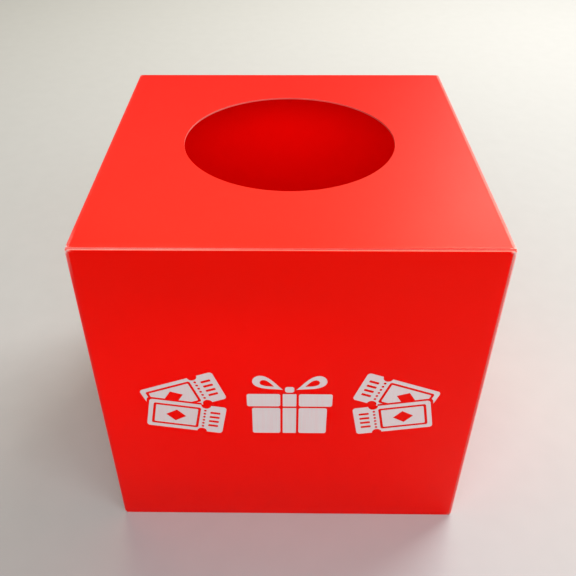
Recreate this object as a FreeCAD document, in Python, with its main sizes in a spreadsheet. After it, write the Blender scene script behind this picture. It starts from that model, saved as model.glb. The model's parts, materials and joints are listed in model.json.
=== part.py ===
import FreeCAD, Part
import os
import Sketcher

# Folding raffle box, die-cut and creased from one sheet of red polypropylene.
# Four walls stand round an open middle, and the last upright fold carries a flap stuck inside the back wall.
# The lid has a nearly round hand hole, hinges on the back wall and tucks in behind the front wall, over two side flaps.
# The bottom closes in the same way, without a hole.
# Millimetres. X runs to the right, Y to the back and Z up, from the middle of the bottom face.

SHEET = "Sizes"

SIZES = [
    ("box_width", 200.0, "outside, left to right"),
    ("box_depth", 200.0, "outside, front to back"),
    ("box_height", 200.0, "outside, bottom to top"),
    ("sheet_thickness", 1.0, "the polypropylene sheet"),
    ("fold_radius", 0.8, "bead of a crease that hinges"),
    ("fold_gap", 0.06, "between a bead and the cut edge that it turns beside"),
    ("corner_radius", 1.0, "outside of an upright fold"),
    ("corner_web", 0.8, "sheet left in an upright fold"),
    ("front_corner_radius", 0.5, "cut corners of the front wall"),
    ("hand_hole_width", 117.6, "hole in the lid, left to right"),
    ("hand_hole_depth", 112.8, "hole in the lid, front to back"),
    ("front_wall_drop", 0.6, "top edge of the front wall below the lid's outer face"),
    ("hand_hole_set_back", 5.9, "hole centre behind the middle of the box"),
    ("lid_side_gap", 0.3, "lid edge inside the side walls' outer faces"),
    ("bottom_side_gap", 0.5, "bottom edge inside the side walls' outer faces"),
    ("tuck_gap", 0.25, "between the front wall and the fold of a tuck flap"),
    ("tuck_lean", 6.0, "degrees that a tuck flap leans into the box"),
    ("lid_tuck_length", 30.0, "fold to tip"),
    ("bottom_tuck_length", 34.0, "fold to tip"),
    ("tuck_side_gap", 1.8, "tuck flap inside the side walls' outer faces"),
    ("tuck_end_gap", 0.2, "ends of a tuck fold clear of the panel's front corners"),
    ("tuck_taper", 3.0, "drawn in at each side by the tip"),
    ("tuck_corner_radius", 12.0, "tip corners of a tuck flap"),
    ("top_flap_depth", 36.0, "side flap under the lid, fold to tip"),
    ("bottom_flap_depth", 60.0, "side flap over the bottom, fold to tip"),
    ("flap_gap", 0.1, "between a side flap and the panel that covers it"),
    ("flap_front_gap", 4.5, "side flap's front end behind the front face"),
    ("flap_rear_gap", 5.0, "side flap's rear end before the hinge of the lid"),
    ("flap_front_taper", 3.0, "front end drawn in by the tip"),
    ("flap_rear_slope", 0.47, "rear end drawn in for each millimetre of depth"),
    ("flap_corner_radius", 5.0, "tip corners of a side flap"),
    ("notch_gap", 0.5, "wall shoulder clear of a side flap's ends"),
    ("seam_width", 18.0, "flap inside the back wall"),
    ("seam_end_gap", 5.0, "seam flap short of the back wall's top and bottom edges"),
    ("seam_end_taper", 4.0, "each end of the seam flap, from fold to free edge"),
    ("seam_edge_inset", 0.4, "back wall's cut edge inside the left wall's outer face"),
    ("adhesive_thickness", 0.2, "strip between seam flap and back wall"),
    ("adhesive_width", 12.0, "strip between seam flap and back wall"),
    ("adhesive_edge_gap", 3.0, "strip inside the seam flap's edges"),
]


class Size:
    """A length that holds its number and the sheet expression that gives it."""

    def __init__(self, number, text):
        self.number = number
        self.text = text

    def joined(self, sign, other, number):
        return Size(number, "(" + self.text + sign + text_of(other) + ")")

    def __add__(self, other):
        return self.joined(" + ", other, self.number + number_of(other))

    def __sub__(self, other):
        return self.joined(" - ", other, self.number - number_of(other))

    def __mul__(self, other):
        return self.joined(" * ", other, self.number * number_of(other))

    def __truediv__(self, other):
        return self.joined(" / ", other, self.number / number_of(other))

    def __neg__(self):
        return Size(-self.number, "(0 - " + self.text + ")")


def number_of(value):
    return value.number if isinstance(value, Size) else float(value)


def text_of(value):
    return value.text if isinstance(value, Size) else repr(float(value))


def write_sizes(doc):
    """Fill the sheet and give back every size by its name."""
    sheet = doc.addObject("Spreadsheet::Sheet", SHEET)
    named = {}
    for row, (name, number, note) in enumerate(SIZES, start=1):
        sheet.set("A%d" % row, name)
        sheet.set("B%d" % row, str(number))
        sheet.set("C%d" % row, note)
        sheet.setAlias("B%d" % row, name)
        named[name] = Size(number, SHEET + "." + name)
    doc.recompute()
    return named


def bind(thing, path, value):
    """Tie one property to the sheet."""
    if isinstance(value, Size):
        thing.setExpression(path, value.text)


def put(thing, base, axis=(0, 0, 1), angle=0.0):
    """Place a sub-part, with the sheet holding its position and its turn."""
    where = FreeCAD.Vector(*[number_of(value) for value in base])
    turn = FreeCAD.Rotation(FreeCAD.Vector(*axis), number_of(angle))
    thing.Placement = FreeCAD.Placement(where, turn)
    for letter, value in zip("xyz", base):
        bind(thing, "Placement.Base." + letter, value)
    bind(thing, "Placement.Rotation.Angle", angle)


def new_body(doc, name):
    body = doc.addObject("PartDesign::Body", name)
    body.Label = name
    return body


def new_sketch(body, name, role, lift=None):
    """A sketch on one of the body's own origin planes, lifted off it where asked."""
    plane = [item for item in body.Origin.OriginFeatures if item.Role == role][0]
    sketch = body.newObject("Sketcher::SketchObject", name)
    sketch.AttachmentSupport = [(plane, "")]
    sketch.MapMode = "FlatFace"
    if lift is not None:
        bind(sketch, "AttachmentOffset.Base.z", lift)
    return sketch


def hold(sketch, kind, edge, point, value):
    """Hold one point of the sketch at a distance from its origin."""
    index = sketch.addConstraint(Sketcher.Constraint(kind, -1, 1, edge, point, number_of(value)))
    bind(sketch, "Constraints[%d]" % index, value)


def draw_outline(sketch, corners):
    """Close a line through the corners, each held by its own two sizes."""
    count = len(corners)
    points = [FreeCAD.Vector(number_of(x), number_of(y), 0) for x, y in corners]
    for i in range(count):
        sketch.addGeometry(Part.LineSegment(points[i], points[(i + 1) % count]))
    for i in range(count):
        sketch.addConstraint(Sketcher.Constraint("Coincident", i, 2, (i + 1) % count, 1))
    for i, (x, y) in enumerate(corners):
        hold(sketch, "DistanceX", i, 1, x)
        hold(sketch, "DistanceY", i, 1, y)


def draw_oval(sketch, x, y, width, depth):
    """A level ellipse, held by its middle and by its two axes."""
    centre = FreeCAD.Vector(number_of(x), number_of(y), 0)
    right = centre + FreeCAD.Vector(number_of(width) / 2, 0, 0)
    back = centre + FreeCAD.Vector(0, number_of(depth) / 2, 0)
    oval = sketch.addGeometry(Part.Ellipse(right, back, centre))
    sketch.exposeInternalGeometry(oval)
    sketch.addConstraint(Sketcher.Constraint("Horizontal", oval + 1))
    hold(sketch, "DistanceX", oval, 3, x)
    hold(sketch, "DistanceY", oval, 3, y)
    for axis, length in ((oval + 1, width), (oval + 2, depth)):
        index = sketch.addConstraint(Sketcher.Constraint("Distance", axis, number_of(length)))
        bind(sketch, "Constraints[%d]" % index, length)


def cut_sheet(doc, name, corners, thickness, lift=None):
    """A flat piece of the sheet: its outline, given the sheet's thickness."""
    body = new_body(doc, name)
    sketch = new_sketch(body, name + "_outline", "XY_Plane", lift)
    draw_outline(sketch, corners)
    pad = body.newObject("PartDesign::Pad", name + "_sheet")
    pad.Profile = sketch
    pad.Length = number_of(thickness)
    bind(pad, "Length", thickness)
    doc.recompute()
    return body


def edges_at(shape, corners):
    """Names of the edges that run through the sheet at these corners of its outline."""
    names = []
    for number, edge in enumerate(shape.Edges, start=1):
        ends = [vertex.Point for vertex in edge.Vertexes]
        for x, y in corners:
            gaps = [abs(end.x - number_of(x)) + abs(end.y - number_of(y)) for end in ends]
            if len(gaps) == 2 and max(gaps) < 0.001:
                names.append("Edge%d" % number)
    return names


def round_corners(doc, body, corners, radius):
    """Round the cut corners of a flat piece."""
    sheet = body.Tip
    fillet = body.newObject("PartDesign::Fillet", body.Name + "_round")
    fillet.Base = (sheet, edges_at(sheet.Shape, corners))
    fillet.Radius = number_of(radius)
    bind(fillet, "Radius", radius)
    doc.recompute()
    return fillet


def hinge_bead(doc, name, start, end, outer, radius, thickness):
    """The rounded crease at the root of a flap, along local X, less the sheet that it carries."""
    length = end - start
    rod = doc.addObject("Part::Cylinder", name + "_rod")
    bind(rod, "Radius", radius)
    bind(rod, "Height", length)
    put(rod, (start, 0, 0), (0, 1, 0), 90)
    slab = doc.addObject("Part::Box", name + "_slab")
    bind(slab, "Length", length)
    bind(slab, "Width", radius * 2)
    bind(slab, "Height", thickness)
    put(slab, (start, -(radius * 2), sheet_floor(outer, radius, thickness)))
    bead = doc.addObject("Part::Cut", name)
    bead.Label = name
    bead.Base = rod
    bead.Tool = slab
    doc.recompute()
    return bead


def sheet_floor(outer, radius, thickness):
    """Lower face of a flap beside its fold axis, with its outer face up (1) or down (-1)."""
    return radius - thickness if outer > 0 else -radius


def make_front_wall(doc, v):
    half = v["box_width"] / 2 - v["corner_radius"]
    height = v["box_height"] - v["front_wall_drop"]
    corners = [(-half, 0), (half, 0), (half, height), (-half, height)]
    body = cut_sheet(doc, "front_wall", corners, v["sheet_thickness"])
    round_corners(doc, body, corners, v["front_corner_radius"])
    put(body, (0, v["sheet_thickness"] - v["box_depth"] / 2, 0), (1, 0, 0), 90)
    return body


def make_back_wall(doc, v):
    left = v["seam_edge_inset"] - v["box_width"] / 2
    right = v["box_width"] / 2 - v["corner_radius"]
    low = v["fold_radius"] * 2 + v["fold_gap"]
    high = v["box_height"] - low
    corners = [(left, low), (right, low), (right, high), (left, high)]
    body = cut_sheet(doc, "back_wall", corners, v["sheet_thickness"])
    put(body, (0, v["box_depth"] / 2, 0), (1, 0, 0), 90)
    return body


def seam_face(v):
    """Back face of the seam flap and of the fold that carries it."""
    return v["box_depth"] / 2 - v["sheet_thickness"] - v["adhesive_thickness"]


def flap_ends(v):
    """Front and rear end of a side flap along its fold."""
    front = v["flap_front_gap"] - v["box_depth"] / 2
    rear = v["box_depth"] / 2 - v["fold_radius"] - v["flap_rear_gap"]
    return front, rear


def make_side_wall(doc, v, name, left_edge, rear):
    """A side wall, lowered between its shoulders where the side flaps hinge, and behind them for the lid's hinge."""
    front = v["corner_radius"] - v["box_depth"] / 2
    flap_front, flap_rear = flap_ends(v)
    notch_front = flap_front - v["notch_gap"]
    notch_rear = flap_rear + v["notch_gap"]
    shoulder = v["sheet_thickness"] + v["flap_gap"]
    hinge = v["fold_radius"] * 2 + v["fold_gap"]
    notch = shoulder + hinge
    height = v["box_height"]
    corners = [
        (front, shoulder), (notch_front, shoulder), (notch_front, notch),
        (notch_rear, notch), (notch_rear, hinge), (rear, hinge),
        (rear, height - hinge), (notch_rear, height - hinge), (notch_rear, height - notch),
        (notch_front, height - notch), (notch_front, height - shoulder), (front, height - shoulder),
    ]
    body = cut_sheet(doc, name, corners, v["sheet_thickness"])
    put(body, (left_edge, 0, 0), (1, 1, 1), 120)
    return body


def make_corner_fold(doc, v, name, centre, turn, low):
    """An upright fold: the thinned sheet turned through a right angle."""
    body = new_body(doc, name)
    sketch = new_sketch(body, name + "_section", "XZ_Plane")
    outside = v["corner_radius"]
    inside = outside - v["corner_web"]
    high = v["box_height"] - low
    draw_outline(sketch, [(inside, low), (outside, low), (outside, high), (inside, high)])
    bend = body.newObject("PartDesign::Revolution", name + "_bend")
    bend.Profile = sketch
    bend.ReferenceAxis = (sketch, ["V_Axis"])
    bend.Angle = 90
    put(body, (centre[0], centre[1], 0), (0, 0, 1), turn)
    doc.recompute()
    return body


def make_corner_folds(doc, v):
    side = v["box_width"] / 2 - v["corner_radius"]
    front = v["corner_radius"] - v["box_depth"] / 2
    back = v["box_depth"] / 2 - v["corner_radius"]
    seam = seam_face(v) - v["corner_radius"]
    shoulder = v["sheet_thickness"] + v["flap_gap"]
    hinge = v["fold_radius"] * 2 + v["fold_gap"]
    return [
        make_corner_fold(doc, v, "back_right_fold", (side, back), 0, hinge),
        make_corner_fold(doc, v, "seam_fold", (-side, seam), 90, hinge),
        make_corner_fold(doc, v, "front_left_fold", (-side, front), 180, shoulder),
        make_corner_fold(doc, v, "front_right_fold", (side, front), 270, shoulder),
    ]


def make_seam_flap(doc, v):
    """The flap of the left wall that is stuck inside the back wall."""
    fold = v["corner_radius"] - v["box_width"] / 2
    edge = fold + v["seam_width"]
    low = v["fold_radius"] * 2 + v["fold_gap"] + v["seam_end_gap"]
    high = v["box_height"] - low
    corners = [
        (fold, low), (edge, low + v["seam_end_taper"]),
        (edge, high - v["seam_end_taper"]), (fold, high),
    ]
    body = cut_sheet(doc, "seam_flap", corners, v["sheet_thickness"])
    put(body, (0, seam_face(v), 0), (1, 0, 0), 90)
    return body


def make_seam_adhesive(doc, v):
    strip = doc.addObject("Part::Box", "seam_adhesive")
    strip.Label = "seam_adhesive"
    low = v["fold_radius"] * 2 + v["fold_gap"] + v["seam_end_gap"] + v["seam_end_taper"]
    bind(strip, "Length", v["adhesive_width"])
    bind(strip, "Width", v["adhesive_thickness"])
    bind(strip, "Height", v["box_height"] - low * 2)
    left = v["corner_radius"] + v["adhesive_edge_gap"] - v["box_width"] / 2
    put(strip, (left, seam_face(v), low))
    doc.recompute()
    return strip


def tuck_axis(v):
    """How far in front of the middle the fold of a tuck flap lies, as a Y."""
    return v["sheet_thickness"] + v["tuck_gap"] + v["fold_radius"] - v["box_depth"] / 2


def make_panel(doc, v, name, side_gap, outer, axis_height):
    """The lid or the bottom: its front corners pass the ends of the tuck flap's fold."""
    half = v["box_width"] / 2 - side_gap
    fold_end = v["box_width"] / 2 - v["tuck_side_gap"] + v["tuck_end_gap"]
    hinge = v["box_depth"] / 2 - v["fold_radius"]
    beside = tuck_axis(v) + v["fold_radius"] + v["fold_gap"] - hinge
    front = tuck_axis(v) - v["fold_radius"] - hinge
    corners = [
        (-half, front), (-fold_end, front), (-fold_end, beside), (fold_end, beside),
        (fold_end, front), (half, front), (half, 0), (-half, 0),
    ]
    lift = sheet_floor(outer, v["fold_radius"], v["sheet_thickness"])
    body = cut_sheet(doc, name + "_panel", corners, v["sheet_thickness"], lift)
    put(body, (0, hinge, axis_height))
    bead = hinge_bead(doc, name + "_hinge_fold", -half, half, outer, v["fold_radius"], v["sheet_thickness"])
    put(bead, (0, hinge, axis_height))
    return body, bead


def cut_hand_hole(doc, v, lid):
    """The nearly round hole that a hand goes through."""
    sketch = new_sketch(lid, "hand_hole", "XY_Plane")
    back = v["hand_hole_set_back"] + v["fold_radius"] - v["box_depth"] / 2
    draw_oval(sketch, 0, back, v["hand_hole_width"], v["hand_hole_depth"])
    before = lid.Shape.Volume
    pocket = lid.newObject("PartDesign::Pocket", "hand_hole_cut")
    pocket.Profile = sketch
    pocket.Type = "ThroughAll"
    pocket.Midplane = True
    doc.recompute()
    if lid.Shape.Volume >= before:
        raise RuntimeError("the hand hole cuts nothing")


def make_tuck_flap(doc, v, name, length, outer, axis_height):
    """A flap that turns down behind the front wall, its tip corners rounded."""
    root = v["box_width"] / 2 - v["tuck_side_gap"]
    tip = root - v["tuck_taper"]
    corners = [(-root, 0), (-tip, -length), (tip, -length), (root, 0)]
    lift = sheet_floor(outer, v["fold_radius"], v["sheet_thickness"])
    body = cut_sheet(doc, name + "_flap", corners, v["sheet_thickness"], lift)
    round_corners(doc, body, corners[1:3], v["tuck_corner_radius"])
    bead = hinge_bead(doc, name + "_fold", -root, root, outer, v["fold_radius"], v["sheet_thickness"])
    for piece in (body, bead):
        put(piece, (0, tuck_axis(v), axis_height), (outer, 0, 0), v["tuck_lean"] + 90)
    return body, bead


def make_side_flap(doc, v, name, depth, side, outer, axis_height):
    """A side flap from its fold on the wall's edge, on the left (-1) or the right (1)."""
    front, rear = flap_ends(v)
    front_tip = front + v["flap_front_taper"]
    rear_tip = rear - depth * v["flap_rear_slope"]
    hand = -side
    corners = [(front * hand, 0), (front_tip * hand, -depth), (rear_tip * hand, -depth), (rear * hand, 0)]
    lift = sheet_floor(outer, v["fold_radius"], v["sheet_thickness"])
    body = cut_sheet(doc, name + "_flap", corners, v["sheet_thickness"], lift)
    round_corners(doc, body, corners[1:3], v["flap_corner_radius"])
    start, end = (front, rear) if side < 0 else (-rear, -front)
    bead = hinge_bead(doc, name + "_fold", start, end, outer, v["fold_radius"], v["sheet_thickness"])
    axis_side = (v["box_width"] / 2 - v["fold_radius"]) * side
    for piece in (body, bead):
        put(piece, (axis_side, 0, axis_height), (0, 0, hand), 90)
    return body, bead


def make_closure(doc, v, outer):
    """Lid end (1) or bottom end (-1): panel, tuck flap and the two side flaps."""
    if outer > 0:
        panel, tuck, sides = "lid", "lid_tuck", "top"
        side_gap, tuck_length, depth = v["lid_side_gap"], v["lid_tuck_length"], v["top_flap_depth"]
    else:
        panel, tuck, sides = "bottom", "bottom_tuck", "bottom"
        side_gap, tuck_length, depth = v["bottom_side_gap"], v["bottom_tuck_length"], v["bottom_flap_depth"]
    panel_inset = v["fold_radius"]
    flap_inset = v["sheet_thickness"] + v["flap_gap"] + v["fold_radius"]
    panel_axis = v["box_height"] - panel_inset if outer > 0 else panel_inset
    flap_axis = v["box_height"] - flap_inset if outer > 0 else flap_inset
    pieces = list(make_panel(doc, v, panel, side_gap, outer, panel_axis))
    pieces += make_tuck_flap(doc, v, tuck, tuck_length, outer, panel_axis)
    pieces += make_side_flap(doc, v, sides + "_left", depth, -1, outer, flap_axis)
    pieces += make_side_flap(doc, v, sides + "_right", depth, 1, outer, flap_axis)
    return pieces


def check_and_write(doc, parts):
    """Stop at a failed object or a bad shape, then write one file for each sub-part."""
    doc.recompute()
    for thing in doc.Objects:
        if "Invalid" in thing.State or "Error" in thing.State:
            raise RuntimeError(thing.Name + " failed: " + str(thing.State))
    for part in parts:
        if part.Shape.isNull() or not part.Shape.isValid() or part.Shape.Volume <= 0:
            raise RuntimeError(part.Label + " has a bad shape")
    os.makedirs("parts", exist_ok=True)
    for part in parts:
        part.Shape.exportStep("parts/" + part.Label + ".step")
        print("%-18s %8.1f mm3" % (part.Label, part.Shape.Volume))


def main():
    doc = FreeCAD.newDocument("raffle_box")
    v = write_sizes(doc)
    side = v["box_width"] / 2
    parts = [make_front_wall(doc, v), make_back_wall(doc, v)]
    parts.append(make_side_wall(doc, v, "left_wall", -side, seam_face(v) - v["corner_radius"]))
    right_rear = v["box_depth"] / 2 - v["corner_radius"]
    parts.append(make_side_wall(doc, v, "right_wall", side - v["sheet_thickness"], right_rear))
    parts += make_corner_folds(doc, v)
    parts += [make_seam_flap(doc, v), make_seam_adhesive(doc, v)]
    lid_end = make_closure(doc, v, 1)
    cut_hand_hole(doc, v, lid_end[0])
    parts += lid_end
    parts += make_closure(doc, v, -1)
    check_and_write(doc, parts)


main()
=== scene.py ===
import json
import math

import bmesh
import bpy
from mathutils import Matrix, Vector


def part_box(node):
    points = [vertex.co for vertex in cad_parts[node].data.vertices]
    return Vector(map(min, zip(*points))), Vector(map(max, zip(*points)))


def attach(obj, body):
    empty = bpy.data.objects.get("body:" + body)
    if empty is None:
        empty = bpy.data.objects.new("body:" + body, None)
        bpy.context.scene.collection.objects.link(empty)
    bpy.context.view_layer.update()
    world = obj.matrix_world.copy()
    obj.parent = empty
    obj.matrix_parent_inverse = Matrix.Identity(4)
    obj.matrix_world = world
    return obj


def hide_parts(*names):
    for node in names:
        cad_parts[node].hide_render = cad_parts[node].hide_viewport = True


# Folding raffle box in red polypropylene sheet, with a white screen print on its front wall.
# Metres. X runs to the right, Y to the back and Z up, from the middle of the bottom face.

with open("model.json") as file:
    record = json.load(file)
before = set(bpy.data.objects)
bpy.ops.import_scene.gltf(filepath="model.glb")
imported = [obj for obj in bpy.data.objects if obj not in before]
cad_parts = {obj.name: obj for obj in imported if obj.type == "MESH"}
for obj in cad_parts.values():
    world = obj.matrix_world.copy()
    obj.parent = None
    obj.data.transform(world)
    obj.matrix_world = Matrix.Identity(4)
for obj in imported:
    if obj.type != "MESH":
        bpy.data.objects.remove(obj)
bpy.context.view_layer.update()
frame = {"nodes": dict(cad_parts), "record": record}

MM = 0.001

# Camera, fitted to the corners of the box in the photograph
FRAME_WIDTH = 576.0
FOCAL_PIXELS = 689.0
SENSOR = 36.0
CAMERA_AT = Vector((-0.0020, -0.3451, 0.3780))
CAMERA_DOWN = 0.6458
CAMERA_YAW = -0.0161
CAMERA_ROLL = -0.0057
CAMERA_SHIFT = (11.5 / FRAME_WIDTH, -26.1 / FRAME_WIDTH)

# Sheet
WELD = 0.002 * MM
FLAT_TURN = math.radians(1.0)
SHARP_TURN = math.radians(30.0)
EDGE_TURN = 0.72
BURR = 0.1 * MM
BURR_STEPS = 2
GRID = 12.5 * MM
BOX_HALF = 0.1

# Creases, and the lip that carries a panel's outer face on over the bead of its tuck flap
CREASE_REACH = 0.08 * MM
LIP_SKIN = 0.1 * MM
LIP_CLEARANCE = 0.02 * MM
LIP_GAP = 0.1 * MM
LIP_CORNER = 0.25 * MM
LIP_FOOT = 12.0

# How far the middle of each wall is drawn in, because a creased sheet never stands quite flat
WALL_BOWS = {
    "front_wall": (Vector((0, 1, 0)), 0.35 * MM),
    "left_wall": (Vector((1, 0, 0)), 0.55 * MM),
    "right_wall": (Vector((-1, 0, 0)), 0.5 * MM),
    "back_wall": (Vector((0, -1, 0)), 0.15 * MM),
}

# Print, three marks in a row on the front wall
INK_THICKNESS = 0.035 * MM
INK_SUNK = 0.01 * MM
MARK_PITCH = 56.0 * MM
MARK_HEIGHT = 98.7 * MM
MARK_SHIFT = 0.5 * MM
INK_GRID = 6.0 * MM

# Colours and gloss
RED = (0.97, 0.0006, 0.0003, 1.0)
DEEP_RED = (0.94, 0.0005, 0.0002, 1.0)
# Pale colour of the whitening sheet, also used for painted highlight on the pale lines
WHITENED_AND_HIGHLIGHT = (1.0, 0.36, 0.34, 1.0)
WHITEST = (1.0, 0.66, 0.63, 1.0)
# Pale colour of the cut edge, partly painted highlight
CUT_PALE_AND_HIGHLIGHT = (1.0, 0.36, 0.33, 1.0)
INK = (0.715, 0.645, 0.65, 1.0)
INK_STREAK = (0.735, 0.60, 0.61, 1.0)
ADHESIVE_PALE = (0.80, 0.77, 0.68, 1.0)
ADHESIVE_DEEP = (0.66, 0.62, 0.50, 1.0)
FLOOR_PALE = (0.55, 0.554, 0.56, 1.0)
FLOOR_DEEP = (0.52, 0.524, 0.53, 1.0)
SHEET_IOR = 1.49
SHEET_GLOSS = 0.12
CUT_GLOSS = 0.5
GLOSS_TINT = (1.0, 0.82, 0.36, 1.0)
FLOOR_GLOSS = 0.2

# How far light runs inside the sheet, in millimetres: red goes through it, green and blue stop at the skin
LIGHT_REACH = (2.0, 0.04, 0.03)

# Whitening, with painted highlight: the band of each pale line in millimetres from the box's edge, full to
# gone, and its share
SHEET_LINE = (0.8, 1.5)
SHEET_LINE_SHARE = 0.45
CREST_LINE = (0.9, 1.3)
SIDE_LINE = (1.6, 2.3)
SIDE_LINE_SHARE = 0.3
CORNER_SPOT = (2.2, 4.5)
CORNER_STRESS = (2.0, 20.0)
SCUFF_SHARE = 0.05
RAGGEDNESS = 0.5

# Where the whitening and its painted highlight set in, from the middle of the box out
FRONT_SKIN = (-99.6 * MM, -99.1 * MM)
UPRIGHT_BAND = (96.5 * MM, 98.5 * MM)
SIDE_BAND = (96.5 * MM, 97.5 * MM)


# Node helpers

def new_material(name):
    material = bpy.data.materials.new(name)
    material.use_nodes = True
    tree = material.node_tree
    shader = tree.nodes["Principled BSDF"]
    return material, tree, shader


def feed(tree, socket, value):
    """Link a socket, or set its own value."""
    if isinstance(value, bpy.types.NodeSocket):
        tree.links.new(value, socket)
    else:
        socket.default_value = value


def node(tree, kind, inputs=None, **settings):
    made = tree.nodes.new(kind)
    for name, value in settings.items():
        setattr(made, name, value)
    for key, value in (inputs or {}).items():
        feed(tree, made.inputs[key], value)
    return made


def maths(tree, operation, *values):
    made = node(tree, "ShaderNodeMath", dict(enumerate(values)), operation=operation)
    return made.outputs[0]


def ramp(tree, value, low, high, out_low=0.0, out_high=1.0):
    """Smooth step from one range to another."""
    made = node(
        tree, "ShaderNodeMapRange",
        {"Value": value, "From Min": low, "From Max": high, "To Min": out_low, "To Max": out_high},
        interpolation_type="SMOOTHSTEP",
    )
    return made.outputs["Result"]


def mix_colour(tree, share, first, second):
    made = node(tree, "ShaderNodeMix", data_type="RGBA")
    feed(tree, made.inputs["Factor"], share)
    feed(tree, made.inputs[6], first)
    feed(tree, made.inputs[7], second)
    return made.outputs[2]


def noise(tree, place, scale, detail=2.0, roughness=0.5):
    made = node(
        tree, "ShaderNodeTexNoise",
        {"Vector": place, "Scale": scale, "Detail": detail, "Roughness": roughness},
    )
    return made.outputs["Fac"]


def stretched(tree, place, scale):
    made = node(tree, "ShaderNodeMapping", {"Vector": place, "Scale": scale})
    return made.outputs["Vector"]


def split(tree, place):
    """Distances from the middle of the box, left or right and front or back, and height."""
    apart = node(tree, "ShaderNodeSeparateXYZ", {0: place})
    across = maths(tree, "ABSOLUTE", apart.outputs["X"])
    along = maths(tree, "ABSOLUTE", apart.outputs["Y"])
    return apart, across, along


def edge_distance(tree, place):
    """Distance to the nearest edge of the cube, in millimetres."""
    apart, across, along = split(tree, place)
    above = maths(tree, "ABSOLUTE", maths(tree, "SUBTRACT", apart.outputs["Z"], BOX_HALF))
    most = maths(tree, "MAXIMUM", maths(tree, "MAXIMUM", across, along), above)
    least = maths(tree, "MINIMUM", maths(tree, "MINIMUM", across, along), above)
    total = maths(tree, "ADD", maths(tree, "ADD", across, along), above)
    middle = maths(tree, "SUBTRACT", maths(tree, "SUBTRACT", total, most), least)
    off_face = maths(tree, "SUBTRACT", BOX_HALF, most)
    off_edge = maths(tree, "SUBTRACT", BOX_HALF, middle)
    squares = maths(tree, "ADD", maths(tree, "POWER", off_face, 2.0), maths(tree, "POWER", off_edge, 2.0))
    return maths(tree, "DIVIDE", maths(tree, "SQRT", squares), MM)


def top_corner_distance(tree, place):
    """Distance to the nearest of the four top corners, in millimetres."""
    apart, across, along = split(tree, place)
    mirrored = node(tree, "ShaderNodeCombineXYZ", {"X": across, "Y": along, "Z": apart.outputs["Z"]})
    corner = (BOX_HALF, BOX_HALF, 2 * BOX_HALF)
    made = node(tree, "ShaderNodeVectorMath", {0: mirrored.outputs[0], 1: corner}, operation="DISTANCE")
    return maths(tree, "DIVIDE", made.outputs["Value"], MM)


def stress_and_painted_light(tree, place):
    """Share of whitening and painted highlight: more on the right and high up, where it is painted highlight
    for the lamps at the right, and most at the lid's front corners.
    """
    apart = node(tree, "ShaderNodeSeparateXYZ", {0: place})
    # Painted highlight: brighter to the right and higher up, as the lamps at the right would light it.
    side = ramp(tree, apart.outputs["X"], -95 * MM, 90 * MM, 0.1, 1.0)
    high = ramp(tree, apart.outputs["Z"], 90 * MM, 170 * MM, 1.0, 1.5)
    near = ramp(tree, top_corner_distance(tree, place), *CORNER_STRESS, 0.8, 0.0)
    front = ramp(tree, apart.outputs["Y"], -20 * MM, 20 * MM, 1.0, 0.0)
    return maths(tree, "ADD", maths(tree, "MULTIPLY", side, high), maths(tree, "MULTIPLY", near, front))


def crease_share(tree, place):
    """None on the front wall along its cut top and bottom edges, and all of it elsewhere."""
    apart, across, _ = split(tree, place)
    off_front = ramp(tree, apart.outputs["Y"], *FRONT_SKIN)
    upright = ramp(tree, across, *UPRIGHT_BAND)
    return maths(tree, "MAXIMUM", off_front, upright)


def side_line(tree, place, away):
    """Share of whitening in the pale line beside the box's side edges, later brightened to the right by
    painted highlight.
    """
    across = split(tree, place)[1]
    line = ramp(tree, away, *SIDE_LINE, SIDE_LINE_SHARE, 0.0)
    return maths(tree, "MULTIPLY", line, ramp(tree, across, *SIDE_BAND))


def corner_spots(tree, place, away):
    """The pale spots at the four top corners, where two creases meet: larger at the front."""
    apart = node(tree, "ShaderNodeSeparateXYZ", {0: place})
    share = ramp(tree, apart.outputs["Y"], -50 * MM, 50 * MM, 0.9, 0.45)
    ragged = maths(tree, "ADD", top_corner_distance(tree, place), away)
    return maths(tree, "MULTIPLY", ramp(tree, ragged, *CORNER_SPOT, 1.0, 0.0), share)


# Materials

def give_gloss(shader, level):
    """The slightly warm gloss of the plastic."""
    shader.inputs["IOR"].default_value = SHEET_IOR
    shader.inputs["Specular IOR Level"].default_value = level
    shader.inputs["Specular Tint"].default_value = GLOSS_TINT


def sheet_grain(tree, place, shader, strength):
    """Fine satin grain, faint rolling streaks and a few hairline scuffs."""
    grain = noise(tree, place, 1900.0, 3.0, 0.6)
    streaks = noise(tree, stretched(tree, place, (30.0, 30.0, 900.0)), 1.0, 3.0, 0.6)
    scuffs = noise(tree, stretched(tree, place, (500.0, 60.0, 140.0)), 1.0, 5.0, 0.75)
    scuff_lines = ramp(tree, scuffs, 0.66, 0.74)
    height = maths(tree, "ADD", grain, maths(tree, "MULTIPLY", streaks, 0.4))
    height = maths(tree, "SUBTRACT", height, maths(tree, "MULTIPLY", scuff_lines, 0.3))
    bump = node(tree, "ShaderNodeBump", {"Strength": strength, "Distance": 0.00006, "Height": height})
    feed(tree, shader.inputs["Normal"], bump.outputs["Normal"])
    return streaks, scuff_lines


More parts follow.
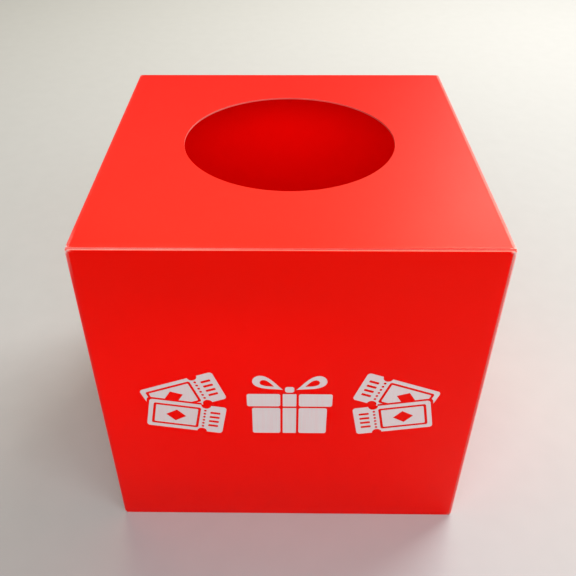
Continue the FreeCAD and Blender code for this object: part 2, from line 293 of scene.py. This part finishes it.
def make_sheet_material():
    material, tree, shader = new_material("satin red polypropylene sheet")
    place = node(tree, "ShaderNodeTexCoord").outputs["Object"]
    streaks, scuff_lines = sheet_grain(tree, place, shader, 0.35)
    cloud = noise(tree, place, 14.0, 3.0)
    base = mix_colour(tree, ramp(tree, cloud, 0.3, 0.7), DEEP_RED, RED)
    breakup = noise(tree, place, 650.0, 2.0)
    away = maths(tree, "ADD", edge_distance(tree, place), maths(tree, "MULTIPLY", breakup, RAGGEDNESS))
    line = ramp(tree, away, *SHEET_LINE, SHEET_LINE_SHARE, 0.0)
    whitened_and_painted_highlight = maths(tree, "MAXIMUM", line, side_line(tree, place, away))
    # Painted highlight: the pale lines are scaled up to the right and toward the top, standing in for the
    # lamps at the right.
    whitened_and_painted_highlight = maths(tree, "MULTIPLY", whitened_and_painted_highlight, stress_and_painted_light(tree, place))
    whitened_and_painted_highlight = maths(tree, "MULTIPLY", whitened_and_painted_highlight, crease_share(tree, place))
    base = mix_colour(tree, whitened_and_painted_highlight, base, WHITENED_AND_HIGHLIGHT)
    base = mix_colour(tree, corner_spots(tree, place, away), base, WHITEST)
    base = mix_colour(tree, maths(tree, "MULTIPLY", scuff_lines, SCUFF_SHARE), base, WHITENED_AND_HIGHLIGHT)
    feed(tree, shader.inputs["Base Color"], base)
    haze = maths(tree, "MULTIPLY", cloud, 0.05)
    rough = maths(tree, "ADD", maths(tree, "ADD", 0.33, haze), maths(tree, "MULTIPLY", streaks, 0.05))
    rough = maths(tree, "ADD", rough, maths(tree, "MULTIPLY", scuff_lines, 0.1))
    feed(tree, shader.inputs["Roughness"], rough)
    give_gloss(shader, SHEET_GLOSS)
    shader.inputs["Subsurface Weight"].default_value = 1.0
    shader.inputs["Subsurface Radius"].default_value = LIGHT_REACH
    shader.inputs["Subsurface Scale"].default_value = MM
    return material


def make_crease_material():
    """The thinned sheet of a crease, paled along its crest where folding stressed it, and paler to the right
    and high up as painted highlight.
    """
    material, tree, shader = new_material("pressed crease, stress whitened")
    place = node(tree, "ShaderNodeTexCoord").outputs["Object"]
    streaks = sheet_grain(tree, place, shader, 0.25)[0]
    patchy = noise(tree, place, 240.0, 3.0, 0.65)
    fine = noise(tree, place, 1500.0, 2.0)
    away = maths(tree, "ADD", edge_distance(tree, place), maths(tree, "MULTIPLY", fine, RAGGEDNESS))
    crest = ramp(tree, away, *CREST_LINE, 1.0, 0.0)
    crest = maths(tree, "MULTIPLY", crest, ramp(tree, patchy, 0.2, 0.75, 0.45, 0.75))
    share = maths(tree, "MAXIMUM", crest, side_line(tree, place, away))
    # Painted highlight: the crest line grows paler to the right and upward.
    share = maths(tree, "MULTIPLY", share, stress_and_painted_light(tree, place))
    base = mix_colour(tree, share, RED, WHITENED_AND_HIGHLIGHT)
    base = mix_colour(tree, corner_spots(tree, place, away), base, WHITEST)
    feed(tree, shader.inputs["Base Color"], base)
    feed(tree, shader.inputs["Roughness"], maths(tree, "ADD", 0.27, maths(tree, "MULTIPLY", streaks, 0.1)))
    give_gloss(shader, SHEET_GLOSS)
    return material


def make_cut_material():
    """The face that the cutting rule leaves, paler than the sheet, and paler still on the left as painted
    highlight from the lamp at the front right.
    """
    material, tree, shader = new_material("die cut edge of the sheet")
    place = node(tree, "ShaderNodeTexCoord").outputs["Object"]
    lines = noise(tree, stretched(tree, place, (2200.0, 2200.0, 2200.0)), 1.0, 3.0, 0.6)
    patchy = noise(tree, place, 130.0, 3.0)
    ruled = ramp(tree, lines, 0.25, 0.75, 0.6, 1.0)
    share = maths(tree, "MULTIPLY", ruled, ramp(tree, patchy, 0.2, 0.8, 0.75, 1.0))
    apart = split(tree, place)[0]
    # Painted highlight: more paleness on the left, where the cut faces turn toward the lamp at the front
    # right.
    share = maths(tree, "MULTIPLY", share, ramp(tree, apart.outputs["X"], -60 * MM, 0.0, 1.0, 0.5))
    feed(tree, shader.inputs["Base Color"], mix_colour(tree, share, RED, CUT_PALE_AND_HIGHLIGHT))
    bump = node(tree, "ShaderNodeBump", {"Strength": 0.3, "Distance": 0.00005, "Height": lines})
    feed(tree, shader.inputs["Normal"], bump.outputs["Normal"])
    feed(tree, shader.inputs["Roughness"], ramp(tree, lines, 0.2, 0.8, 0.3, 0.5))
    give_gloss(shader, CUT_GLOSS)
    return material


def make_ink_material():
    """Screen ink, a little thin in places and faintly streaked by the squeegee."""
    material, tree, shader = new_material("white screen ink")
    place = node(tree, "ShaderNodeTexCoord").outputs["Object"]
    mesh_marks = noise(tree, place, 1500.0, 2.0)
    cloud = noise(tree, place, 90.0, 3.0)
    streaks = noise(tree, stretched(tree, place, (1400.0, 1400.0, 60.0)), 1.0, 2.0)
    thin = ramp(tree, mesh_marks, 0.35, 0.75)
    thin = maths(tree, "MULTIPLY", thin, ramp(tree, cloud, 0.3, 0.8, 0.01, 0.05))
    coat = mix_colour(tree, ramp(tree, streaks, 0.3, 0.7), INK, INK_STREAK)
    feed(tree, shader.inputs["Base Color"], mix_colour(tree, thin, coat, RED))
    bump = node(tree, "ShaderNodeBump", {"Strength": 0.2, "Distance": 0.00003, "Height": mesh_marks})
    feed(tree, shader.inputs["Normal"], bump.outputs["Normal"])
    feed(tree, shader.inputs["Roughness"], ramp(tree, cloud, 0.2, 0.8, 0.42, 0.55))
    return material


def make_adhesive_material():
    material, tree, shader = new_material("tacky adhesive film")
    place = node(tree, "ShaderNodeTexCoord").outputs["Object"]
    bubbles = noise(tree, place, 700.0, 3.0)
    base = mix_colour(tree, ramp(tree, bubbles, 0.4, 0.7), ADHESIVE_DEEP, ADHESIVE_PALE)
    feed(tree, shader.inputs["Base Color"], base)
    feed(tree, shader.inputs["Roughness"], ramp(tree, bubbles, 0.3, 0.7, 0.25, 0.45))
    bump = node(tree, "ShaderNodeBump", {"Strength": 0.3, "Distance": 0.00005, "Height": bubbles})
    feed(tree, shader.inputs["Normal"], bump.outputs["Normal"])
    return material


def make_floor_material():
    material, tree, shader = new_material("pale paper floor")
    place = node(tree, "ShaderNodeTexCoord").outputs["Object"]
    tooth = noise(tree, place, 60.0, 3.0)
    feed(tree, shader.inputs["Base Color"], mix_colour(tree, tooth, FLOOR_DEEP, FLOOR_PALE))
    shader.inputs["Roughness"].default_value = 0.85
    shader.inputs["Specular IOR Level"].default_value = FLOOR_GLOSS
    return material


SHEET = make_sheet_material()
CREASE = make_crease_material()
CUT = make_cut_material()
INK_COAT = make_ink_material()
ADHESIVE = make_adhesive_material()


# Sheet pieces

def joined_copy(node_name):
    """A node's mesh with its corners joined and each flat face whole."""
    shape = bmesh.new()
    shape.from_mesh(frame["nodes"][node_name].data)
    bmesh.ops.remove_doubles(shape, verts=shape.verts[:], dist=WELD)
    bmesh.ops.dissolve_limit(shape, angle_limit=FLAT_TURN, verts=shape.verts[:], edges=shape.edges[:])
    return shape


def crease_boxes():
    """A box round each crease, a little larger than it."""
    reach = Vector((CREASE_REACH, CREASE_REACH, CREASE_REACH))
    members = frame["record"]["subparts"]
    creases = [member["node"] for member in members if member["material_slot"] == "red_crease"]
    return [(low - reach, high + reach) for low, high in map(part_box, creases)]


CREASE_BOXES = crease_boxes()


def beside_crease(point):
    """Whether the real sheet runs on here into a crease, without a cut."""
    return any(all(low[i] <= point[i] <= high[i] for i in range(3)) for low, high in CREASE_BOXES)


def middle_of(element):
    """Middle of an edge's or a face's corners."""
    return sum((vertex.co for vertex in element.verts), Vector()) / len(element.verts)


def round_sharp_edges(shape, width):
    sharp = [
        edge for edge in shape.edges
        if edge.is_manifold and edge.calc_face_angle() > SHARP_TURN and not beside_crease(middle_of(edge))
    ]
    bmesh.ops.bevel(
        shape, geom=sharp, offset=width, offset_type="OFFSET", segments=BURR_STEPS, profile=0.5,
        affect="EDGES", clamp_overlap=True, material=-1,
    )


def cut_into_cells(shape, low, high, step, axes):
    """Cut across the axes every step, so that a flat face can be bent."""
    for axis in axes:
        normal = Vector((0, 0, 0))
        normal[axis] = 1.0
        count = max(2, round((high[axis] - low[axis]) / step))
        for i in range(1, count):
            at = Vector((0, 0, 0))
            at[axis] = low[axis] + (high[axis] - low[axis]) * i / count
            everything = shape.verts[:] + shape.edges[:] + shape.faces[:]
            bmesh.ops.bisect_plane(shape, geom=everything, plane_co=at, plane_no=normal, dist=WELD)


def bow_of(point, low, high, inward):
    """Share of the bow at a point: none along the creases, all of it in the middle."""
    share = 1.0
    for axis in range(3):
        if abs(inward[axis]) < 0.5:
            share *= math.sin(math.pi * (point[axis] - low[axis]) / (high[axis] - low[axis]))
    return max(0.0, share)


def bend_wall(shape, node_name):
    inward, depth = WALL_BOWS[node_name]
    low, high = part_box(node_name)
    axes = [axis for axis in range(3) if abs(inward[axis]) < 0.5]
    cut_into_cells(shape, low, high, GRID, axes)
    for vertex in shape.verts:
        vertex.co += inward * depth * bow_of(vertex.co, low, high, inward)


def sort_faces(shape, is_cut):
    for face in shape.faces:
        face.material_index = 1 if is_cut(face) else 0
        face.smooth = True
    for edge in shape.edges:
        if edge.is_manifold and edge.calc_face_angle() > SHARP_TURN:
            edge.smooth = False


def plain_mesh(holder):
    """The mesh of an object with its modifiers applied."""
    bpy.context.view_layer.update()
    seen = holder.evaluated_get(bpy.context.evaluated_depsgraph_get())
    return bpy.data.meshes.new_from_object(seen)


def shaded_by_area(mesh):
    """Normals that follow the large faces, so that rounded edges don't pull at a flat face's shading."""
    holder = bpy.data.objects.new("shaded", mesh)
    bpy.context.scene.collection.objects.link(holder)
    weighted = holder.modifiers.new("by_area", "WEIGHTED_NORMAL")
    weighted.mode = "FACE_AREA"
    weighted.weight = 100
    weighted.keep_sharp = True
    result = plain_mesh(holder)
    bpy.data.objects.remove(holder)
    return result


def finish_piece(shape, name, body, materials, replaced=None):
    draft = bpy.data.meshes.new(name + "_draft")
    shape.to_mesh(draft)
    shape.free()
    for material in materials:
        draft.materials.append(material)
    mesh = shaded_by_area(draft)
    mesh.name = name
    piece = bpy.data.objects.new(name, mesh)
    bpy.context.scene.collection.objects.link(piece)
    if replaced:
        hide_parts(replaced)
    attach(piece, body)
    return piece


def body_with(node_name):
    for body, members in frame["record"]["behaviour"]["bodies"].items():
        if node_name in members:
            return body


def bead_section(bead_name):
    """Which way a tuck bead faces out, and its middle and radius seen from the side."""
    low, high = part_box(bead_name)
    radius = (high.y - low.y) / 2
    outer, face = (1, high.z) if low.z > BOX_HALF else (-1, low.z)
    return outer, Vector((0, (low.y + high.y) / 2, face - outer * radius)), radius


def add_lip(shape, bead_name):
    """Carry a panel's outer face on over the bead of its tuck flap, as the real sheet bends without a gap."""
    outer, centre, radius = bead_section(bead_name)
    low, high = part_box(bead_name)
    end = min(vertex.co.y for vertex in shape.verts if vertex.co.y > high.y)
    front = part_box("front_wall")[1].y + LIP_GAP
    reach = radius - LIP_SKIN + LIP_CLEARANCE
    foot = reach * math.sin(math.radians(LIP_FOOT))
    section = [(end, radius)]
    section += arc(front + LIP_CORNER, radius - LIP_CORNER, LIP_CORNER, 90, 180)
    section.append((front, foot))
    section += arc(centre.y, 0.0, reach, 180 - LIP_FOOT, LIP_FOOT, 16)
    section.append((end, foot))
    ends = [[shape.verts.new((x, y, centre.z + outer * up)) for y, up in section] for x in (low.x, high.x)]
    made = [shape.faces.new(corners) for corners in ends]
    count = len(section)
    for i in range(count):
        after = (i + 1) % count
        made.append(shape.faces.new((ends[0][i], ends[0][after], ends[1][after], ends[1][i])))
    bmesh.ops.recalc_face_normals(shape, faces=made)
    return made


def slim_bead(shape, bead_name):
    """Draw a tuck bead in about its own axis, to make room for the lip over it."""
    _, centre, radius = bead_section(bead_name)
    share = (radius - LIP_SKIN) / radius
    bmesh.ops.scale(shape, vec=(1, share, share), space=Matrix.Translation(-centre), verts=shape.verts[:])


LIPS = {"lid_panel": "lid_tuck_fold", "bottom_panel": "bottom_tuck_fold"}


def make_sheet_piece(node_name):
    """A panel or flap: two satin faces and a pale edge where it was cut."""
    shape = joined_copy(node_name)
    widest = max(shape.faces, key=lambda face: face.calc_area())
    across = widest.normal.copy()
    round_sharp_edges(shape, BURR)
    if node_name in WALL_BOWS:
        bend_wall(shape, node_name)
    lip = add_lip(shape, LIPS[node_name]) if node_name in LIPS else []

    def is_cut(face):
        return abs(face.normal.dot(across)) < EDGE_TURN and not beside_crease(middle_of(face))

    sort_faces(shape, is_cut)
    materials = (SHEET, CUT, CREASE) if lip else (SHEET, CUT)
    for face in lip:
        if face.material_index == 0:
            face.material_index = 2
    return finish_piece(shape, node_name + "_sheet", body_with(node_name), materials, node_name)


def make_crease_piece(node_name):
    """A crease: its rounded length, and the cut face at each end."""
    shape = joined_copy(node_name)
    low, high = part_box(node_name)
    size = high - low
    longest = max(range(3), key=lambda axis: size[axis])
    if node_name in LIPS.values():
        slim_bead(shape, node_name)
    sort_faces(shape, lambda face: abs(face.normal[longest]) > EDGE_TURN)
    body = body_with(node_name)
    return finish_piece(shape, node_name + "_crease", body, (CREASE, CUT), node_name)


# Print

def arc(x, y, radius, start, end, steps=8):
    """Points along an arc, angles in degrees."""
    points = []
    for i in range(steps + 1):
        turn = math.radians(start + (end - start) * i / steps)
        points.append((x + radius * math.cos(turn), y + radius * math.sin(turn)))
    return points


def rounded_box(left, low, right, high, radius):
    points = arc(right - radius, low + radius, radius, -90, 0)
    points += arc(right - radius, high - radius, radius, 0, 90)
    points += arc(left + radius, high - radius, radius, 90, 180)
    points += arc(left + radius, low + radius, radius, 180, 270)
    return points


def ticket_outline(width, height, tear, corner, notch):
    """A ticket, nicked at both ends of its tear line."""
    right, high = width / 2, height / 2
    points = arc(right - corner, -high + corner, corner, -90, 0)
    points += arc(right - corner, high - corner, corner, 0, 90)
    points += arc(tear, high, notch, 0, -180, 12)
    points += arc(-right + corner, high - corner, corner, 90, 180)
    points += arc(-right + corner, -high + corner, corner, 180, 270)
    points += arc(tear, -high, notch, 180, 0, 12)
    return points


def turned(points, degrees, x=0.0, y=0.0):
    turn = math.radians(degrees)
    c, s = math.cos(turn), math.sin(turn)
    return [(x + px * c - py * s, y + px * s + py * c) for px, py in points]


def bow_loop(length, width, steps=28, fullness=0.8):
    """One loop of a ribbon bow, from the knot outwards."""
    points = []
    for i in range(steps):
        turn = 2 * math.pi * i / steps - math.pi / 2
        reach = (1 + math.sin(turn)) / 2
        points.append((reach * length, math.cos(turn) * width * reach ** fullness))
    return points


def filled(name, loops, thickness=1.0):
    """A flat shape from closed loops in millimetres, holes by the even and odd rule."""
    curve = bpy.data.curves.new(name, "CURVE")
    curve.dimensions = "2D"
    curve.fill_mode = "BOTH"
    curve.extrude = thickness / 2
    for loop in loops:
        spline = curve.splines.new("POLY")
        spline.points.add(len(loop) - 1)
        for point, (x, y) in zip(spline.points, loop):
            point.co = (x, y, 0.0, 1.0)
        spline.use_cyclic_u = True
    holder = bpy.data.objects.new(name, curve)
    bpy.context.scene.collection.objects.link(holder)
    mesh = plain_mesh(holder)
    bpy.data.objects.remove(holder)
    return mesh


def perforation_tree():
    """Geometry nodes that punch a row of dots through a printed shape."""
    tree = bpy.data.node_groups.new("perforation row", "GeometryNodeTree")
    face = tree.interface
    face.new_socket("Geometry", in_out="INPUT", socket_type="NodeSocketGeometry")
    inputs = {}
    for name, kind in (
        ("Start", "NodeSocketVector"), ("Step", "NodeSocketVector"), ("Count", "NodeSocketInt"),
        ("Dot radius", "NodeSocketFloat"), ("Ink", "NodeSocketMaterial"),
    ):
        inputs[name] = face.new_socket(name, in_out="INPUT", socket_type=kind).identifier
    face.new_socket("Geometry", in_out="OUTPUT", socket_type="NodeSocketGeometry")
    given = tree.nodes.new("NodeGroupInput")
    line = node(tree, "GeometryNodeMeshLine", {
        "Count": given.outputs["Count"], "Start Location": given.outputs["Start"],
        "Offset": given.outputs["Step"]}, mode="OFFSET")
    dot = node(tree, "GeometryNodeMeshCylinder", {
        "Vertices": 14, "Radius": given.outputs["Dot radius"], "Depth": 4.0})
    row = node(tree, "GeometryNodeInstanceOnPoints", {
        "Points": line.outputs["Mesh"], "Instance": dot.outputs["Mesh"]})
    real = node(tree, "GeometryNodeRealizeInstances", {"Geometry": row.outputs["Instances"]})
    punched = node(tree, "GeometryNodeMeshBoolean", operation="DIFFERENCE")
    feed(tree, punched.inputs["Mesh 1"], given.outputs["Geometry"])
    feed(tree, punched.inputs["Mesh 2"], real.outputs["Geometry"])
    painted = node(tree, "GeometryNodeSetMaterial", {
        "Geometry": punched.outputs["Mesh"], "Material": given.outputs["Ink"]})
    result = tree.nodes.new("NodeGroupOutput")
    feed(tree, result.inputs["Geometry"], painted.outputs["Geometry"])
    return tree, inputs


PERFORATION, PERFORATION_INPUTS = perforation_tree()


def punched_mesh(mesh, start, step, count, radius):
    holder = bpy.data.objects.new("punched", mesh)
    bpy.context.scene.collection.objects.link(holder)
    modifier = holder.modifiers.new("perforation", "NODES")
    modifier.node_group = PERFORATION
    values = {
        "Start": (*start, 0.0), "Step": (*step, 0.0), "Count": count, "Dot radius": radius, "Ink": INK_COAT,
    }
    for name, value in values.items():
        modifier[PERFORATION_INPUTS[name]] = value
    result = plain_mesh(holder)
    bpy.data.objects.remove(holder)
    return result


def less(mesh, cutter):
    """One printed shape less another."""
    holder = bpy.data.objects.new("printed", mesh)
    tool = bpy.data.objects.new("cutter", cutter)
    for item in (holder, tool):
        bpy.context.scene.collection.objects.link(item)
    modifier = holder.modifiers.new("clear", "BOOLEAN")
    modifier.operation = "DIFFERENCE"
    modifier.solver = "EXACT"
    modifier.object = tool
    result = plain_mesh(holder)
    for item in (holder, tool):
        bpy.data.objects.remove(item)
    return result


# Ticket sizes in millimetres, and where the two tickets of a pair lie: turn in degrees, then x and y
TICKET = {"width": 41.0, "height": 21.0, "tear": 9.5, "corner": 1.8, "notch": 2.6}
FRONT_TICKET = (-10.0, 0.7, -9.7)
REAR_TICKET = (20.0, 0.3, 7.4)
TICKET_CLEAR = 1.4
FRAME_INSET = 2.4
FRAME_LINE = 1.4
FRAME_CORNERS = (1.2, 0.6)
DIAMOND = (5.4, 4.4)
BAR_HEIGHTS = (-5.1, -1.7, 1.7, 5.1)
BAR_HALF = 0.8
BAR_CORNER = 0.5
BAR_INSET = 2.8
DOT_COUNT = 6
DOT_PITCH = 2.5
DOT_RADIUS = 0.75
CUTTER_THICKNESS = 4.0


# Gift sizes in millimetres from the middle of the mark. Its lid and box go from a low edge to a high one,
# the knot is left, low, right, high and its corners, and a loop of the bow is its length and fullness.
GIFT_HALF = 22.5
GIFT_RIBBON_HALF = 3.6
GIFT_GAP = 1.3
GIFT_OVERHANG = 2.6
GIFT_LID = (-1.5, 8.0)
GIFT_BOX = (-23.0, -2.8)
GIFT_CORNER = 1.2
RIBBON_CORNER = 0.4
KNOT = (-2.4, 9.2, 2.4, 13.4, 1.4)
BOW_TILT = 28
BOW_LOOP = (17.5, 6.2)
BOW_ROOT = (3.4, 11.2)
BOW_EYE = (8.5, 2.9)
BOW_EYE_ROOT = (7.8, 13.5)


def ticket_mesh(name, place):
    """One ticket of the print: frame line, a diamond, ruled stub and a row of tear dots."""
    tear = TICKET["tear"]
    left, high = -TICKET["width"] / 2 + FRAME_INSET, TICKET["height"] / 2 - FRAME_INSET
    right = tear - FRAME_INSET
    outer = rounded_box(left, -high, right, high, FRAME_CORNERS[0])
    inset = (left + FRAME_LINE, FRAME_LINE - high, right - FRAME_LINE, high - FRAME_LINE)
    inner = rounded_box(*inset, FRAME_CORNERS[1])
    middle = (left + right) / 2
    wide, tall = DIAMOND
    diamond = [(middle + wide, 0), (middle, tall), (middle - wide, 0), (middle, -tall)]
    loops = [ticket_outline(**TICKET), outer, inner, diamond]
    for bar in BAR_HEIGHTS:
        end = TICKET["width"] / 2 - BAR_INSET
        loops.append(rounded_box(tear + BAR_INSET, bar - BAR_HALF, end, bar + BAR_HALF, BAR_CORNER))
    mesh = filled(name, [turned(loop, *place) for loop in loops])
    lowest = -DOT_PITCH * (DOT_COUNT - 1) / 2
    first, second = turned([(tear, lowest), (tear, lowest + DOT_PITCH)], *place)
    step = (second[0] - first[0], second[1] - first[1])
    return punched_mesh(mesh, first, step, DOT_COUNT, DOT_RADIUS)


def join_meshes(meshes):
    shape = bmesh.new()
    for mesh in meshes:
        shape.from_mesh(mesh)
    return shape


def ticket_pair(name, mirror):
    """Two tickets fanned out, the front one clear of the other by a line of bare sheet."""
    front = ticket_mesh(name + "_front", FRONT_TICKET)
    rear = ticket_mesh(name + "_rear", REAR_TICKET)
    clear = dict(TICKET)
    clear["width"] += 2 * TICKET_CLEAR
    clear["height"] += 2 * TICKET_CLEAR
    cutter = filled(name + "_clear", [turned(ticket_outline(**clear), *FRONT_TICKET)], CUTTER_THICKNESS)
    shape = join_meshes([front, less(rear, cutter)])
    if mirror:
        bmesh.ops.scale(shape, vec=(-1, 1, 1), verts=shape.verts[:])
        bmesh.ops.reverse_faces(shape, faces=shape.faces[:])
    return shape


def gift_shape(name):
    """A tied gift box with a bow."""
    inner = GIFT_RIBBON_HALF + GIFT_GAP
    loops = []
    for side in (-1, 1):
        for (low, high), half in ((GIFT_LID, GIFT_HALF), (GIFT_BOX, GIFT_HALF - GIFT_OVERHANG)):
            left, right = sorted((side * inner, side * half))
            loops.append(rounded_box(left, low, right, high, GIFT_CORNER))
        tilt = BOW_TILT if side > 0 else 180 - BOW_TILT
        for loop, (x, y) in ((BOW_LOOP, BOW_ROOT), (BOW_EYE, BOW_EYE_ROOT)):
            loops.append(turned(bow_loop(*loop), tilt, side * x, y))
    loops.append(rounded_box(*KNOT))
    for low, high in (GIFT_LID, GIFT_BOX):
        loops.append(rounded_box(-GIFT_RIBBON_HALF, low, GIFT_RIBBON_HALF, high, RIBBON_CORNER))
    shape = bmesh.new()
    shape.from_mesh(filled(name, loops))
    return shape


def print_on_wall(shape, name, across):
    """Lay a mark, drawn in millimetres, on the front wall's bowed face."""
    bmesh.ops.remove_doubles(shape, verts=shape.verts[:], dist=0.001)
    xs = [vertex.co.x for vertex in shape.verts]
    ys = [vertex.co.y for vertex in shape.verts]
    cut_into_cells(shape, (min(xs), min(ys)), (max(xs), max(ys)), INK_GRID / MM, (0, 1))
    inward, depth = WALL_BOWS["front_wall"]
    low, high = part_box("front_wall")
    for vertex in shape.verts:
        sunk = -INK_THICKNESS if vertex.co.z > 0 else INK_SUNK
        at = Vector((across + vertex.co.x * MM, low.y + sunk, MARK_HEIGHT + vertex.co.y * MM))
        vertex.co = at + inward * depth * bow_of(at, low, high, inward)
    bmesh.ops.recalc_face_normals(shape, faces=shape.faces[:])
    for face in shape.faces:
        face.material_index = 0
    return finish_piece(shape, name, "walls", (INK_COAT,))


def make_print():
    print_on_wall(ticket_pair("left_tickets", False), "left_tickets_print", MARK_SHIFT - MARK_PITCH)
    print_on_wall(gift_shape("gift"), "gift_print", MARK_SHIFT)
    print_on_wall(ticket_pair("right_tickets", True), "right_tickets_print", MARK_SHIFT + MARK_PITCH)


# Stage, lamps and camera

FLOOR_HALF = 4.0
LAMP_AIM = Vector((0.0, 0.0, 0.1))
WORLD_LEVEL = 0.13


def make_floor():
    half = FLOOR_HALF
    mesh = bpy.data.meshes.new("floor")
    corners = [(-half, -half, 0), (half, -half, 0), (half, half, 0), (-half, half, 0)]
    mesh.from_pydata(corners, [], [(0, 1, 2, 3)])
    mesh.materials.append(make_floor_material())
    floor = bpy.data.objects.new("floor", mesh)
    bpy.context.scene.collection.objects.link(floor)


def make_lamp(name, at, size, watts, colour=(1.0, 1.0, 1.0)):
    light = bpy.data.lights.new(name, "AREA")
    light.shape = "RECTANGLE"
    light.size, light.size_y = size
    light.energy = watts
    light.color = colour
    lamp = bpy.data.objects.new(name, light)
    lamp.location = at
    aim = LAMP_AIM - Vector(at)
    lamp.rotation_euler = aim.to_track_quat("-Z", "Y").to_euler()
    bpy.context.scene.collection.objects.link(lamp)


def make_world():
    world = bpy.data.worlds.new("studio")
    world.use_nodes = True
    sky = world.node_tree.nodes["Background"]
    sky.inputs["Color"].default_value = (1.0, 1.0, 1.0, 1.0)
    sky.inputs["Strength"].default_value = WORLD_LEVEL
    bpy.context.scene.world = world


def make_camera():
    """A camera at the photograph's place: level right axis, then pitched down, yawed and rolled."""
    forward = Vector((
        math.sin(CAMERA_YAW) * math.cos(CAMERA_DOWN),
        math.cos(CAMERA_YAW) * math.cos(CAMERA_DOWN),
        -math.sin(CAMERA_DOWN),
    ))
    level = Vector((math.cos(CAMERA_YAW), -math.sin(CAMERA_YAW), 0.0))
    upright = level.cross(forward)
    right = level * math.cos(CAMERA_ROLL) + upright * math.sin(CAMERA_ROLL)
    up = upright * math.cos(CAMERA_ROLL) - level * math.sin(CAMERA_ROLL)
    lens = bpy.data.cameras.new("camera")
    lens.sensor_width = SENSOR
    lens.lens = FOCAL_PIXELS / FRAME_WIDTH * SENSOR
    lens.shift_x, lens.shift_y = CAMERA_SHIFT
    lens.clip_start = 0.01
    camera = bpy.data.objects.new("camera", lens)
    turn = Matrix((right, up, -forward)).transposed()
    camera.matrix_world = Matrix.Translation(CAMERA_AT) @ turn.to_4x4()
    bpy.context.scene.collection.objects.link(camera)
    bpy.context.scene.camera = camera


make_camera()
for member in frame["record"]["subparts"]:
    if member["material_slot"] == "red_sheet":
        make_sheet_piece(member["node"])
    elif member["material_slot"] == "red_crease":
        make_crease_piece(member["node"])
strip = frame["nodes"]["seam_adhesive"]
strip.data.materials.clear()
strip.data.materials.append(ADHESIVE)
make_print()
make_floor()
make_world()
make_lamp("right_softbox", (0.78, 0.9, 1.12), (1.0, 0.8), 23.3, (1.0, 0.98, 0.95))
make_lamp("back_softbox", (-0.05, 1.25, 1.35), (1.4, 0.6), 12.6, (1.0, 0.92, 0.64))
make_lamp("front_softbox", (-0.1, -1.15, 0.9), (1.4, 0.7), 11.5)
make_lamp("right_fill", (0.7, -0.65, 0.75), (0.5, 0.5), 3.0)
bpy.context.scene.view_settings.view_transform = "Standard"
